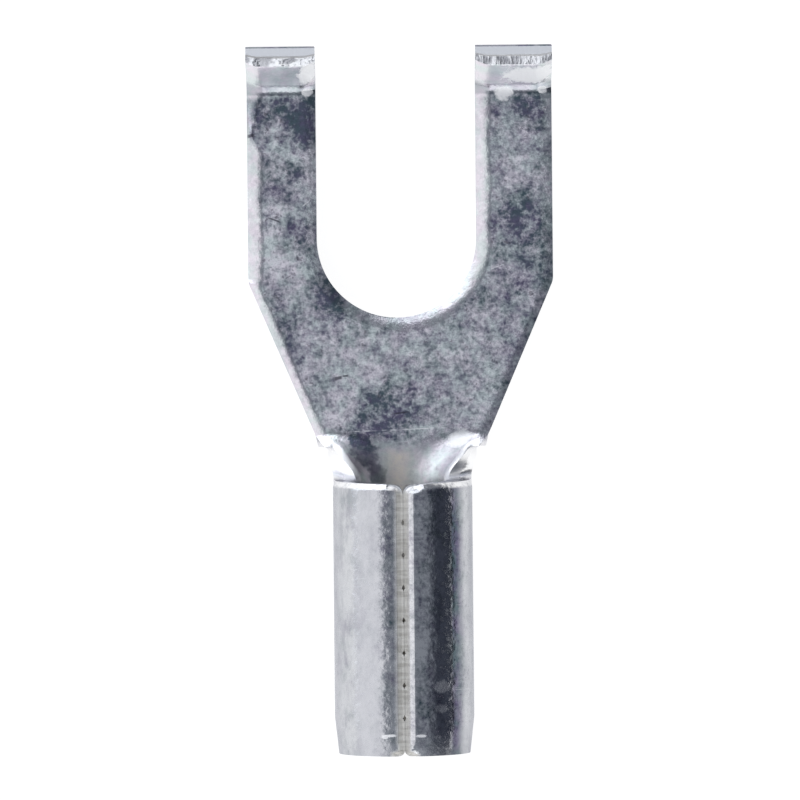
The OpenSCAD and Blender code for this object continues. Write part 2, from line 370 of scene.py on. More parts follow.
def wander(across, along):
    """A slow uneven change over the blank, between -1 and 1."""
    slow = 0.5 * np.sin(2.9 * along + 1.3 * across + 0.7) + 0.3 * np.sin(7.3 * along - 2.1 * across + 2.1)
    return slow + 0.2 * np.sin(17.0 * along + 5.0 * across + 0.4)


def dent(across, along):
    """How much of the left tine's rounded edge an old dent has flattened, at a place on the blank."""
    offset = along - DENT_PLACE
    part = 1 - np.maximum(offset / DENT_AHEAD, -offset / DENT_BEHIND)
    return np.where(across < -FORK_HALF + 0.6, DENT_SHARE * np.clip(part, 0, 1), 0)


def inside(points, outline):
    """Which points lie within a closed outline."""
    result = np.zeros(len(points), dtype=bool)
    x, y = points.T
    for (x0, y0), (x1, y1) in zip(outline, outline[1:] + outline[:1]):
        if y0 == y1:
            continue
        crosses = (y0 > y) != (y1 > y)
        result ^= crosses & (x < x0 + (y - y0) * (x1 - x0) / (y1 - y0))
    return result


def roll_drop(distance, width, depth):
    """How far a rounded edge has dropped at a distance from the cut: an arc from the face to the cut."""
    chord = np.hypot(width, depth)
    radius = chord / 2 / np.sin(ROLL_ROUNDNESS * np.maximum(np.arctan2(depth, width), 0.01))
    reach = np.sqrt(radius**2 - chord**2 / 4)
    centre_in = width / 2 + reach * depth / chord
    centre_down = depth / 2 + reach * width / chord
    within = np.clip(distance, 0, width)
    drop = centre_down - np.sqrt(radius**2 - (within - centre_in) ** 2)
    return np.where(distance < width, np.maximum(drop, 0), 0)


def unpinched(line):
    """A stretch of the seam's edge without the places where the gripping grooves pull it back."""
    return [(x + math.copysign(pinch(y), x), y) for x, y in line]


def lip_drop(distance, lip_start, lip_end):
    """How far the barrel's outside drops near the seam: a gentle lip, a steep flank, a flat floor."""
    lip_turn = math.asin(lip_end / BARREL_RADIUS)
    turn = np.minimum(SEAM_EDGE_TURN + distance / MIDDLE_RADIUS, lip_turn)
    reach = np.full(len(distance), BARREL_RADIUS)
    edge_height = np.sqrt(BARREL_RADIUS**2 - lip_end**2)
    for _ in range(4):
        side = np.maximum(reach * np.sin(turn), SEAM_FLOOR_HALF)
        down = np.maximum(lip_end - np.maximum(side, lip_start), 0) * math.tan(LIP_ANGLE)
        down += np.maximum(lip_start - side, 0) * math.tan(FLANK_ANGLE)
        reach = (edge_height - down) / np.cos(turn)
    return np.where(turn < lip_turn, np.maximum(BARREL_RADIUS - reach, 0), 0)


def ring_points(name, line):
    """Points along a stretch, at the insets where its rounded edges need them."""
    if name == "seam":
        creases = sorted([SEAM_FLOOR_HALF, LEFT_LIP[0], RIGHT_LIP[0], RIGHT_LIP[1], PAST_LIPS])
        insets = [crease * MIDDLE_RADIUS / BARREL_RADIUS for crease in creases]
        line = unpinched(line)
    else:
        upper_width = max(UPPER_ROLLS[name][0], UPPER_ROLLS[name][2])
        lower_width = LOWER_ROLLS[name][0]
        steps = np.linspace(0, 1, RING_STEPS + 1)[1:]
        insets = set(steps * upper_width) | set(steps * lower_width)
        insets = sorted(insets | {upper_width + 0.04, lower_width + 0.04})
    points = np.asarray(line)
    direction = np.gradient(points, axis=0)
    direction /= np.hypot(*direction.T)[:, None]
    inward = np.stack([-direction[:, 1], direction[:, 0]], axis=1)
    return np.concatenate([points + inset * inward for inset in insets])


def taper_line():
    """The line on the flat blank along which the barrel's rear taper starts."""
    across = np.arange(-WING_HALF, WING_HALF, POINT_SPACING)
    from_seam = np.pi - np.abs(across) / MIDDLE_RADIUS
    down = BARREL_RADIUS - REAR_TAPER_LIFT * np.cos(from_seam)
    reach = np.hypot(down, REAR_TAPER_LIFT * np.sin(from_seam))
    length = (reach - BARREL_RADIUS + REAR_TAPER_DEPTH) * REAR_TAPER_LENGTH / REAR_TAPER_DEPTH
    return np.stack([across, length - REAR_END], axis=1)


def grid_points():
    """Points over the whole blank, in rows that fall on the gripping grooves."""
    rows = GROOVE_PITCH / 8
    middle = -REAR_END + BARREL_LENGTH / 2
    up = np.arange(middle, TIP_END, rows)
    down = np.arange(middle - rows, -REAR_END, -rows)
    right = np.arange(0, WING_HALF, POINT_SPACING)
    across = np.concatenate([-right[:0:-1], right])
    grid = np.meshgrid(across, np.concatenate([down[::-1], up]))
    return np.stack([axis.ravel() for axis in grid], axis=1)


def thinned(groups, closest):
    """Points of several groups in order, without those too close to one kept before them."""
    kept = []
    cells = {}
    for points, gap in zip(groups, closest):
        size = max(closest)
        for point in points:
            cell = (math.floor(point[0] / size), math.floor(point[1] / size))
            near = [
                other
                for i in (-1, 0, 1)
                for j in (-1, 0, 1)
                for other in cells.get((cell[0] + i, cell[1] + j), ())
            ]
            if all(math.dist(point, other) >= gap for other in near):
                kept.append((point[0], point[1]))
                cells.setdefault(cell, []).append(kept[-1])
    return kept


def flat_triangles(stretches):
    """The blank's points in the plane and the triangles between them. The outline's points come first."""
    outline = [tuple(point) for _, line in stretches for point in line[:-1]]
    rings = np.concatenate([ring_points(name, line) for name, line in stretches])
    rings = rings[inside(rings, outline)]
    grid = grid_points()
    grid = grid[inside(grid, outline)]
    points = thinned(
        [np.asarray(outline), rings, taper_line(), grid],
        [0, CLOSEST_POINTS, POINT_SPACING / 2, POINT_SPACING / 2],
    )
    loop = [list(range(len(outline)))]
    flat, _, triangles, _, _, _ = delaunay_2d_cdt([Vector(p) for p in points], [], loop, 1, 1e-6)
    return np.array([tuple(p) for p in flat]), [list(t) for t in triangles], len(outline)


def groove_depth(along):
    """Depth of the gripping grooves at a place along the blank."""
    middle = -REAR_END + BARREL_LENGTH / 2
    offset = (along - middle) / GROOVE_PITCH
    nearest = np.clip(np.round(offset), -(GROOVE_COUNT // 2), GROOVE_COUNT // 2)
    part = np.clip(np.abs(offset - nearest) * GROOVE_PITCH * 2 / GROOVE_WIDTH, 0, 1)
    return GROOVE_DEPTH * (1 + np.cos(np.pi * part)) / 2


def rear_taper(across, along):
    """How much the rear taper takes off the barrel's outside at a place on the blank."""
    from_seam = np.pi - np.abs(across) / MIDDLE_RADIUS
    slope = REAR_TAPER_DEPTH / REAR_TAPER_LENGTH
    cone = BARREL_RADIUS - REAR_TAPER_DEPTH + slope * np.maximum(along + REAR_END, 0)
    side = REAR_TAPER_LIFT * np.sin(from_seam)
    reach = REAR_TAPER_LIFT * np.cos(from_seam) + np.sqrt(cone**2 - side**2)
    return np.where(along < -MOUTH, np.clip(BARREL_RADIUS - reach, 0, SHEET / 2), 0)


def warm_stain(across, along):
    """Where the tin has a warm tone: in the bore, and on a trail that runs out of it along the trough."""
    started = np.clip((WARM_START - along + 0.06 * wander(along, across * 4)) / WARM_FADE, 0, 1)
    trail = np.exp(-(((across - WARM_CENTRE) / WARM_HALF) ** 2))
    in_bore = np.clip((-MOUTH - along) / WARM_FADE, 0, 1)
    return np.maximum(started * trail, WARM_BORE * in_bore)


def cut_blank():
    """The flat blank as a closed mesh: upper face, lower face and the cut edge between them."""
    stretches = outline_stretches()
    flat, triangles, edge_count = flat_triangles(stretches)
    across, along = flat.T
    uneven = 1 + ROLL_WANDER * wander(across, along)
    upper = np.zeros(len(flat))
    lower = np.zeros(len(flat))
    roll_line = np.zeros(len(flat))
    bright_roll = np.zeros(len(flat))
    gap_to = {name: np.full(len(flat), np.inf) for name in UPPER_ROLLS}
    for name, line in stretches:
        gap, facing = nearest_edge(flat, unpinched(line) if name == "seam" else line)
        gap_to[name] = np.minimum(gap_to[name], gap)
        left_width, left_depth, right_width, right_depth = UPPER_ROLLS[name]
        turned = (facing + 1) / 2 * np.clip((TINE_LENGTH - along) / 0.3 + 1, 0, 1)
        width = (left_width + (right_width - left_width) * turned) * uneven
        depth = left_depth + (right_depth - left_depth) * turned
        if name == "fork":
            width = width * (1 - dent(across, along))
        upper = np.maximum(upper, roll_drop(gap, width, depth))
        if name == "fork":
            line_at = np.exp(-(((gap - width) / ROLL_LINE_HALF) ** 2))
            roll_line = np.maximum(roll_line, line_at * np.clip(facing, 0, 1))
        on_roll = np.clip((width + 0.06 - gap) / 0.2, 0, 1)
        bright_roll = np.maximum(bright_roll, on_roll * np.clip(0.3 - facing, 0, 1))
        if name == "seam":
            lip_start, lip_end = LEFT_LIP if line[0][0] < 0 else RIGHT_LIP
            lower = np.maximum(lower, lip_drop(gap, lip_start, lip_end))
        else:
            lower = np.maximum(lower, roll_drop(gap, *LOWER_ROLLS[name]))
    in_barrel = along < -MOUTH
    upper = np.where(in_barrel, np.maximum(upper, groove_depth(along)), upper)
    lower = np.maximum(lower, rear_taper(across, along))
    heights = np.concatenate([SHEET / 2 - upper, lower - SHEET / 2])
    points = np.column_stack([np.concatenate([flat, flat]), heights])

    # Masks for the materials: on the upper face, on the lower face, and along the cut
    none = np.zeros(len(flat))
    cut_from_below = gap_to["tip"] < CLOSEST_POINTS
    # Painted highlight along the neck's edges, on both faces and on the cut
    beside_neck = np.clip((NECK_BRIGHT - gap_to["neck"]) / 0.05, 0, 1)
    to_blank = MIDDLE_RADIUS / BARREL_RADIUS
    flank_width = np.where(across < 0, LEFT_LIP[0], RIGHT_LIP[0]) * to_blank
    beside_seam = np.clip((flank_width - gap_to["seam"]) / FLANK_FADE + 0.5, 0, 1)
    beside_seam *= np.clip((-MOUTH - MOUTH_CORNER_RADIUS - along) / 0.15 + 1, 0, 1)
    # Painted highlights on the mouth's rim and its corners by the seam, and on the right lip, which faces
    # the light
    on_rim = np.clip((RIM_BRIGHT - gap_to["mouth"]) / 0.04, 0, 1)
    on_corner = np.clip((RIM_CORNER - gap_to["seam"]) / 0.04, 0, 1)
    on_rim = np.maximum(on_rim, on_corner * (along > -MOUTH - MOUTH_CORNER_RADIUS))
    lip_middle = sum(RIGHT_LIP) / 2 * to_blank
    on_lip = np.exp(-(((gap_to["seam"] - lip_middle) / LIP_BRIGHT) ** 4)) * (across > 0)
    beside_tip = np.clip((TIP_DARK - gap_to["tip"]) / 0.03, 0, 1)
    masks = {
        "fracture": [np.where(cut_from_below, 1, 0), np.where(cut_from_below, 0, 1)],
        "flank": [none, beside_seam],
        "warm": [warm_stain(across, along), none],
        "bore": [np.clip((-MOUTH - 0.1 - along) / 0.5, 0, 1), none],
        "upper_face": [none + 1, none],
        "bright_roll": [bright_roll, none],
        "roll_line": [roll_line, none],
        "neck_edge": [beside_neck, beside_neck],
        "tip_edge": [none, beside_tip],
        "rim": [none, on_rim],
        "lip": [none, on_lip],
        "taper": [none, rear_taper(across, along) / REAR_TAPER_DEPTH],
    }
    count = len(flat)
    rows = [np.arange(edge_count)]
    for step in range(1, WALL_STEPS):
        part = step / WALL_STEPS
        row = points[:edge_count] * (1 - part) + points[count : count + edge_count] * part
        rows.append(np.arange(len(points), len(points) + edge_count))
        points = np.concatenate([points, row])
        for values in masks.values():
            values.append(values[0][:edge_count] * (1 - part) + values[1][:edge_count] * part)
    rows.append(np.arange(count, count + edge_count))

    faces = [tuple(t) for t in triangles]
    faces += [tuple(index + count for index in reversed(t)) for t in triangles]
    sheet_faces = len(faces)
    for above, below in zip(rows, rows[1:]):
        for i in range(edge_count):
            following = (i + 1) % edge_count
            faces.append((below[i], below[following], above[following], above[i]))

    mesh = bpy.data.meshes.new("fork_terminal_blank")
    mesh.from_pydata(points.tolist(), [], [tuple(int(i) for i in face) for face in faces])
    place = mesh.attributes.new("blank_place", "FLOAT_VECTOR", "POINT")
    place.data.foreach_set("vector", points.ravel())
    for name, values in masks.items():
        mask = mesh.attributes.new(name, "FLOAT", "POINT")
        mask.data.foreach_set("value", np.concatenate(values).astype(float))
    cut = mesh.attributes.new("cut_face", "FLOAT", "FACE")
    cut.data.foreach_set("value", (np.arange(len(faces)) >= sheet_faces).astype(float))
    return mesh


class Tree:
    """A node tree with short calls for the nodes that the script uses most."""

    def __init__(self, nodes_of):
        self.tree = nodes_of

    def node(self, kind, **settings):
        made = self.tree.nodes.new(kind)
        for name, value in settings.items():
            setattr(made, name, value)
        return made

    def join(self, value, socket):
        if isinstance(value, bpy.types.NodeSocket):
            self.tree.links.new(value, socket)
        else:
            socket.default_value = value

    def math(self, operation, *values):
        made = self.node("ShaderNodeMath", operation=operation)
        for value, socket in zip(values, made.inputs):
            self.join(value, socket)
        return made.outputs[0]

    def ranged(self, value, low, high, to_low=0.0, to_high=1.0, kind="SMOOTHSTEP"):
        made = self.node("ShaderNodeMapRange", interpolation_type=kind)
        for part, socket in zip((value, low, high, to_low, to_high), made.inputs):
            self.join(part, socket)
        return made.outputs[0]

    def mixed(self, factor, first, second):
        made = self.node("ShaderNodeMix", data_type="RGBA")
        self.join(factor, made.inputs[0])
        self.join(first, made.inputs[6])
        self.join(second, made.inputs[7])
        return made.outputs[2]

    def noise(self, place, scale, detail=3.0, rough=0.6, warp=0.0):
        made = self.node("ShaderNodeTexNoise")
        self.join(place, made.inputs["Vector"])
        self.join(scale, made.inputs["Scale"])
        self.join(detail, made.inputs["Detail"])
        self.join(rough, made.inputs["Roughness"])
        self.join(warp, made.inputs["Distortion"])
        return made.outputs[0]

    def mask(self, name):
        made = self.node("ShaderNodeAttribute", attribute_name=name)
        return made.outputs["Fac"]

    def stretched(self, place, turn, scale):
        made = self.node("ShaderNodeMapping")
        self.join(place, made.inputs["Vector"])
        made.inputs["Rotation"].default_value = turn
        made.inputs["Scale"].default_value = scale
        return made.outputs[0]

    def group(self, kind, **values):
        made = self.node("ShaderNodeGroup", node_tree=kind)
        for name, value in values.items():
            self.join(value, made.inputs[name])
        return made.outputs


FORMING = {
    "Sheet": SHEET,
    "Tine Length": TINE_LENGTH,
    "Fold Angle": FOLD_ANGLE,
    "Fold Radius": FOLD_RADIUS,
    "Curl Start": CURL_START,
    "Barrel Mouth": MOUTH,
    "Barrel Radius": BARREL_RADIUS,
    "Body Shift": BODY_SHIFT,
}


def forming_tree():
    """Geometry Nodes that form the flat blank: tips folded up, neck curled, barrel rolled."""
    group = bpy.data.node_groups.new("form_fork_terminal", "GeometryNodeTree")
    group.interface.new_socket("Geometry", in_out="INPUT", socket_type="NodeSocketGeometry")
    for name in FORMING:
        group.interface.new_socket(name, in_out="INPUT", socket_type="NodeSocketFloat")
    group.interface.new_socket("Tin", in_out="INPUT", socket_type="NodeSocketMaterial")
    group.interface.new_socket("Cut Edge", in_out="INPUT", socket_type="NodeSocketMaterial")
    group.interface.new_socket("Geometry", in_out="OUTPUT", socket_type="NodeSocketGeometry")

    make = Tree(group)
    given = make.node("NodeGroupInput").outputs
    result = make.node("NodeGroupOutput")
    place = make.node("ShaderNodeSeparateXYZ")
    group.links.new(make.node("GeometryNodeInputPosition").outputs[0], place.inputs[0])
    across, along, height = place.outputs
    half_sheet = make.math("MULTIPLY", given["Sheet"], 0.5)

    # The neck's curvature grows from flat to that of the barrel
    behind = make.math("MULTIPLY", along, -1.0)
    curled = make.ranged(behind, given["Curl Start"], given["Barrel Mouth"])
    barrel_middle = make.math("SUBTRACT", given["Barrel Radius"], half_sheet)
    bend = make.math("MAXIMUM", make.math("DIVIDE", curled, barrel_middle), 1e-5)
    turn = make.math("MULTIPLY", bend, across)
    sine = make.math("SINE", turn)
    side = make.math("SUBTRACT", make.math("DIVIDE", sine, bend), make.math("MULTIPLY", height, sine))
    half_sine = make.math("SINE", make.math("MULTIPLY", turn, 0.5))
    rise = make.math("DIVIDE", make.math("MULTIPLY", make.math("POWER", half_sine, 2.0), 2.0), bend)
    curl_height = make.math("MULTIPLY_ADD", height, make.math("COSINE", turn), rise)

    # The tips turn up round the fold, then run on straight
    past = make.math("MAXIMUM", make.math("SUBTRACT", along, given["Tine Length"]), 0.0)
    fold_middle = make.math("ADD", given["Fold Radius"], half_sheet)
    fold = make.math("MINIMUM", make.math("DIVIDE", past, fold_middle), given["Fold Angle"])
    run = make.math("SUBTRACT", past, make.math("MULTIPLY", fold, fold_middle))
    fold_reach = make.math("SUBTRACT", fold_middle, height)
    fold_sine = make.math("SINE", fold)
    fold_cosine = make.math("COSINE", fold)
    straight = make.math("MINIMUM", along, given["Tine Length"])
    forward = make.math("MULTIPLY_ADD", fold_reach, fold_sine, straight)
    forward = make.math("MULTIPLY_ADD", run, fold_cosine, forward)
    fold_rise = make.math("MULTIPLY", fold_reach, make.math("SUBTRACT", 1.0, fold_cosine))
    fold_rise = make.math("MULTIPLY_ADD", run, fold_sine, fold_rise)

    formed = make.node("ShaderNodeCombineXYZ")
    make.join(make.math("ADD", side, given["Body Shift"]), formed.inputs[0])
    make.join(forward, formed.inputs[1])
    raised = make.math("ADD", make.math("ADD", half_sheet, curl_height), fold_rise)
    make.join(raised, formed.inputs[2])
    metres = make.node("ShaderNodeVectorMath", operation="SCALE")
    make.join(formed.outputs[0], metres.inputs[0])
    metres.inputs["Scale"].default_value = MM

    moved = make.node("GeometryNodeSetPosition")
    make.join(given["Geometry"], moved.inputs["Geometry"])
    make.join(metres.outputs[0], moved.inputs["Position"])
    whole = make.node("GeometryNodeRealizeInstances")
    make.join(moved.outputs[0], whole.inputs[0])
    tinned = make.node("GeometryNodeSetMaterial")
    make.join(whole.outputs[0], tinned.inputs["Geometry"])
    make.join(given["Tin"], tinned.inputs["Material"])
    cut = make.node("GeometryNodeInputNamedAttribute", data_type="FLOAT")
    cut.inputs["Name"].default_value = "cut_face"
    edged = make.node("GeometryNodeSetMaterial")
    make.join(tinned.outputs[0], edged.inputs["Geometry"])
    make.join(make.math("GREATER_THAN", cut.outputs[0], 0.5), edged.inputs["Selection"])
    make.join(given["Cut Edge"], edged.inputs["Material"])
    make.join(edged.outputs[0], result.inputs[0])
    return group


def formed_terminal(tin, edge):
    """The blank after forming, as a plain mesh."""
    piece = bpy.data.objects.new("fork_terminal_tinned", cut_blank())
    bpy.context.scene.collection.objects.link(piece)
    group = forming_tree()
    forming = piece.modifiers.new("forming", "NODES")
    forming.node_group = group
    values = dict(FORMING)
    values["Tin"] = tin
    values["Cut Edge"] = edge
    for item in group.interface.items_tree:
        if item.in_out == "INPUT" and item.name in values:
            forming[item.identifier] = values[item.name]
    formed = bpy.data.meshes.new_from_object(piece.evaluated_get(bpy.context.evaluated_depsgraph_get()))
    piece.modifiers.remove(forming)
    piece.data = formed
    formed.name = "fork_terminal_tinned"
    formed.shade_smooth()
    formed.set_sharp_from_angle(angle=SHARP_ANGLE)
    return piece


def plain_material(name):
    """A new material, its tree and its shader."""
    material = bpy.data.materials.new(name)
    material.use_nodes = True
    return material, Tree(material.node_tree), material.node_tree.nodes["Principled BSDF"]


def effect(name, inputs, outputs):
    """A new shader node group with a place and some values going in and values coming out."""
    group = bpy.data.node_groups.new(name, "ShaderNodeTree")
    group.interface.new_socket("Place", in_out="INPUT", socket_type="NodeSocketVector")
    for label in inputs:
        group.interface.new_socket(label, in_out="INPUT", socket_type="NodeSocketFloat")
    for label in outputs:
        group.interface.new_socket(label, in_out="OUTPUT", socket_type="NodeSocketFloat")
    make = Tree(group)
    return group, make, make.node("NodeGroupInput").outputs, make.node("NodeGroupOutput").inputs


def mottle_effect():
    """Cloudy patches with dark specks, as on handled tin plate, and the fine relief that goes with them."""
    labels = ["Tarnish", "Patch", "Relief", "Matte"]
    group, make, given, result = effect("tin_mottle", ["Speck Scale"], labels)
    broad = make.noise(given["Place"], 0.38, 1.0, 0.5)
    patch = make.noise(given["Place"], 0.95, 3.0, 0.65, 0.3)
    fine = make.noise(given["Place"], 3.4, 4.0, 0.75, 0.15)
    speck = make.noise(given["Place"], given["Speck Scale"], 3.0, 0.65)
    grain = make.noise(given["Place"], 21.0, 2.0, 0.6)
    tarnish = make.math("MULTIPLY_ADD", broad, 0.6, make.math("MULTIPLY", fine, 2.1))
    tarnish = make.math("MULTIPLY_ADD", speck, 1.3, tarnish)
    make.join(make.math("SUBTRACT", tarnish, 1.5), result["Tarnish"])
    make.join(make.math("MULTIPLY", make.math("SUBTRACT", patch, 0.5), 3.2), result["Patch"])
    make.join(make.math("MULTIPLY_ADD", speck, 0.75, make.math("MULTIPLY", grain, 0.25)), result["Relief"])
    make.join(make.ranged(make.math("MULTIPLY_ADD", fine, 0.6, speck), 0.80, 1.0), result["Matte"])
    return group


def scratch_effect():
    """Short hairline scratches in three directions."""
    group, make, given, result = effect("hair_scratches", ["Spread"], ["Scratch"])
    whole = None
    for turn, stretch in ((0.35, 26.0), (1.25, 21.0), (2.4, 30.0)):
        place = make.stretched(given["Place"], (0, 0, turn), (0.8, stretch, 0.8))
        hair = make.ranged(make.noise(place, 1.0, 2.0, 0.5, 0.25), 0.66, 0.74)
        whole = hair if whole is None else make.math("MAXIMUM", whole, hair)
    gate = make.ranged(make.noise(given["Place"], 1.7, 2.0), given["Spread"], 0.75)
    make.join(make.math("MULTIPLY", whole, gate), result["Scratch"])
    return group


def millimetres(make):
    """Object coordinates in millimetres."""
    made = make.node("ShaderNodeVectorMath", operation="SCALE")
    make.join(make.node("ShaderNodeTexCoord").outputs["Object"], made.inputs[0])
    made.inputs["Scale"].default_value = 1 / MM
    return made.outputs[0]


def bumped(make, height, metres):
    """A bump of a height in metres."""
    made = make.node("ShaderNodeBump")
    made.inputs["Strength"].default_value = 1
    made.inputs["Distance"].default_value = metres
    make.join(height, made.inputs["Height"])
    return made.outputs[0]


def reach_from(make, blank_place, ragged, centre_across, centre_along, half_across, half_along):
    """How far each place on the flat blank is from a spot's middle: about 1 at the spot's uneven outline."""
    offset = make.node("ShaderNodeVectorMath", operation="SUBTRACT")
    make.join(blank_place, offset.inputs[0])
    offset.inputs[1].default_value = (centre_across, centre_along, 0)
    scaled = make.node("ShaderNodeVectorMath", operation="MULTIPLY")
    make.join(offset.outputs[0], scaled.inputs[0])
    scaled.inputs[1].default_value = (1 / half_across, 1 / half_along, 0)
    length = make.node("ShaderNodeVectorMath", operation="LENGTH")
    make.join(scaled.outputs[0], length.inputs[0])
    return make.math("ADD", length.outputs["Value"], ragged)


def ragged_spots(make, blank_place, ragged, spots):
    """One mask for several round spots on the flat blank, with uneven outlines."""
    whole = 0.0
    for spot in spots:
        reach = reach_from(make, blank_place, ragged, *spot)
        whole = make.math("MAXIMUM", make.ranged(reach, 0.68, 1.12, 1.0, 0.0), whole)
    return whole


def soft_stains(make, blank_place, ragged, stains):
    """The sum of several wide soft stains on the flat blank, each with its own strength."""
    whole = 0.0
    for *spot, strength in stains:
        reach = reach_from(make, blank_place, ragged, *spot)
        whole = make.math("ADD", make.ranged(reach, 0.2, 1.4, strength, 0.0), whole)
    return whole


def line_mark(make, place, start, end, half_width):
    """A mask along a straight mark between two places on the upper face."""
    length = math.dist(start, end)
    direction = ((end[0] - start[0]) / length, (end[1] - start[1]) / length)
    offset = make.node("ShaderNodeVectorMath", operation="SUBTRACT")
    make.join(place, offset.inputs[0])
    offset.inputs[1].default_value = (start[0], start[1], 0)
    reach = []
    for axis in (direction, (-direction[1], direction[0])):
        dot = make.node("ShaderNodeVectorMath", operation="DOT_PRODUCT")
        make.join(offset.outputs[0], dot.inputs[0])
        dot.inputs[1].default_value = (axis[0], axis[1], 0)
        reach.append(dot.outputs["Value"])
    fade = length * 0.3
    mark = make.ranged(make.math("ABSOLUTE", reach[1]), half_width * 0.4, half_width, 1.0, 0.0)
    mark = make.math("MULTIPLY", mark, make.ranged(reach[0], 0.0, fade))
    return make.math("MULTIPLY", mark, make.ranged(reach[0], length - fade, length, 1.0, 0.0))


def all_marks(make, place, marks):
    """One mask for several straight marks on the upper face."""
    whole = line_mark(make, place, *marks[0])
    for mark in marks[1:]:
        whole = make.math("MAXIMUM", whole, line_mark(make, place, *mark))
    return make.math("MULTIPLY", whole, make.mask("upper_face"))


def tinned_sheet(mottle, scratches):
    """The sheet's faces: satin tin, clouded and specked, dull with painted shade in the bore and matte
    beside the seam.
    """
    material, make, shader = plain_material("tinned_sheet")
    place = millimetres(make)
    blank_place = make.node("ShaderNodeAttribute", attribute_name="blank_place").outputs["Vector"]
    blank = make.node("ShaderNodeSeparateXYZ")
    make.join(blank_place, blank.inputs[0])
    tarnish, patch, relief, matte = make.group(mottle, Place=place, **{"Speck Scale": 8.5})
    scratch = make.group(scratches, Place=place, Spread=0.5)[0]

    # Tarnish: strong on the flat upper face, most uneven on the left tine, weak in the neck and on the tips,
    # and weak on the rounded edges that face the light, which are cleaner and also painted lighter as
    # highlights
    upper = make.mask("upper_face")
    outside = make.math("SUBTRACT", 1.0, upper)
    across, along, _ = blank.outputs
    uneven = make.ranged(across, -1.5, 1.5, 0.82, 0.4)
    uneven = make.math("MULTIPLY", uneven, make.ranged(along, -1.2, 0.4, 0.4, 1.0))
    ragged = make.math("MULTIPLY", make.math("SUBTRACT", make.noise(place, 5.0, 3.0), 0.5), 1.2)
    stains = soft_stains(make, blank_place, ragged, TONGUE_STAINS)
    tarnish = make.math("MULTIPLY_ADD", patch, uneven, make.math("ADD", tarnish, stains))
    weight = make.ranged(make.mask("bright_roll"), 0.0, 1.0, 1.0, 0.25, "LINEAR")
    weight = make.math("MULTIPLY", weight, make.ranged(along, *NECK_FADE, 0.3, 1.0))
    weight = make.math("MULTIPLY", weight, make.ranged(along, TINE_LENGTH, TINE_LENGTH + 0.3, 1.0, 0.2))
    dark = make.math("MULTIPLY", tarnish, make.math("MULTIPLY", weight, upper))
    # Painted shade on the tines before the fold, stronger on the left, and in the fold's crease
    before_fold = make.ranged(along, TINE_LENGTH - 0.1, TINE_LENGTH + 0.1, 1.0, 0.0)
    shade = make.math("MULTIPLY", make.ranged(along, *FOLD_SHADE), before_fold)
    shade = make.math("MULTIPLY", shade, make.ranged(across, -1.0, 1.0, 0.47, 0.1))
    fold = make.ranged(along, TINE_LENGTH, TINE_LENGTH + 0.15, 0.0, 0.42)
    fold = make.math("MULTIPLY", fold, make.ranged(along, 4.3, 4.6, 1.0, 0.0))
    dark = make.math("MULTIPLY_ADD", upper, make.math("ADD", shade, fold), dark)
    # Painted shade line where each rounding that faces right, away from the light, begins
    dark = make.math("MULTIPLY_ADD", make.mask("roll_line"), 0.18, dark)
    # A painted dark reflection along the tips' edges on the lower face
    dark = make.math("MULTIPLY_ADD", make.mask("tip_edge"), 0.6, dark)

    # Painted shade runs down the left of the neck's trough, which faces away from the light
    neck_shade = make.math("MULTIPLY", ragged_spots(make, blank_place, ragged, NECK_SHADE_SPOTS), upper)
    dark = make.math("MULTIPLY_ADD", neck_shade, 0.6, dark)

    # Barrel outside: faint streaks along it, mottle beside the seam, a soft stain on the left, painted dark
    # reflection on the right
    streaks = make.noise(make.stretched(place, (0, 0, 0), (1.5, 0.8, 1.5)), 1.0, 5.0, 0.7)
    streaks = make.math("MULTIPLY", make.ranged(streaks, 0.36, 0.66), outside)
    dark = make.math("MULTIPLY_ADD", streaks, 0.24, dark)
    from_seam = make.math("SUBTRACT", WING_HALF, make.math("ABSOLUTE", across))
    from_lip = make.math("MULTIPLY", from_seam, make.ranged(across, -0.1, 0.1, 2.1, 1.0))
    mottled = make.math("MULTIPLY", outside, make.ranged(from_lip, 0.7, 1.3, 1.2, 0.12))
    dark = make.math("MULTIPLY_ADD", mottled, make.math("SUBTRACT", tarnish, 0.32), dark)
    right_outside = make.math("MULTIPLY", outside, make.ranged(across, -0.1, 0.1))
    right_dark_reflection = make.ranged(from_seam, *RIGHT_REFLECTION_END, 0.8, 0.0)
    right_dark_reflection = make.math("MULTIPLY", right_dark_reflection, make.ranged(from_seam, *RIGHT_REFLECTION_START))
    right_dark_reflection = make.math("MULTIPLY", right_dark_reflection, right_outside)
    dark = make.math("ADD", right_dark_reflection, dark)
    from_stain = make.math("ABSOLUTE", make.math("SUBTRACT", across, STAIN_ACROSS))
    left_stain = make.math("MULTIPLY", outside, make.ranged(from_stain, 0.0, STAIN_HALF, 0.24, 0.0))
    dark = make.math("MULTIPLY_ADD", left_stain, streaks, dark)

    # Painted highlights on the tips, neck, mouth, rear taper and right lip, and dull smudges
    glint_spots = make.math("MULTIPLY", ragged_spots(make, blank_place, ragged, PAINTED_GLINT_SPOTS), upper)
    glints = make.math("MULTIPLY", ragged_spots(make, blank_place, ragged, REAR_GLINTS), outside)
    smudges = make.math("MULTIPLY", ragged_spots(make, blank_place, ragged, BARREL_SMUDGES), outside)
    # Patches for the painted highlights on the mouth's rim and on the right lip
    highlight_patches = make.ranged(make.noise(place, 9.0, 2.0), 0.3, 0.55, 0.45, 1.0)
    painted_highlights = make.math("MAXIMUM", glint_spots, make.mask("neck_edge"))
    painted_highlights = make.math("MAXIMUM", painted_highlights, make.math("MULTIPLY", make.mask("rim"), highlight_patches))
    painted_highlights = make.math("MAXIMUM", painted_highlights, glints)
    lip_highlight = make.math("MULTIPLY", make.mask("lip"), make.math("MULTIPLY", highlight_patches, 0.5))
    painted_highlights = make.math("MAXIMUM", painted_highlights, lip_highlight)

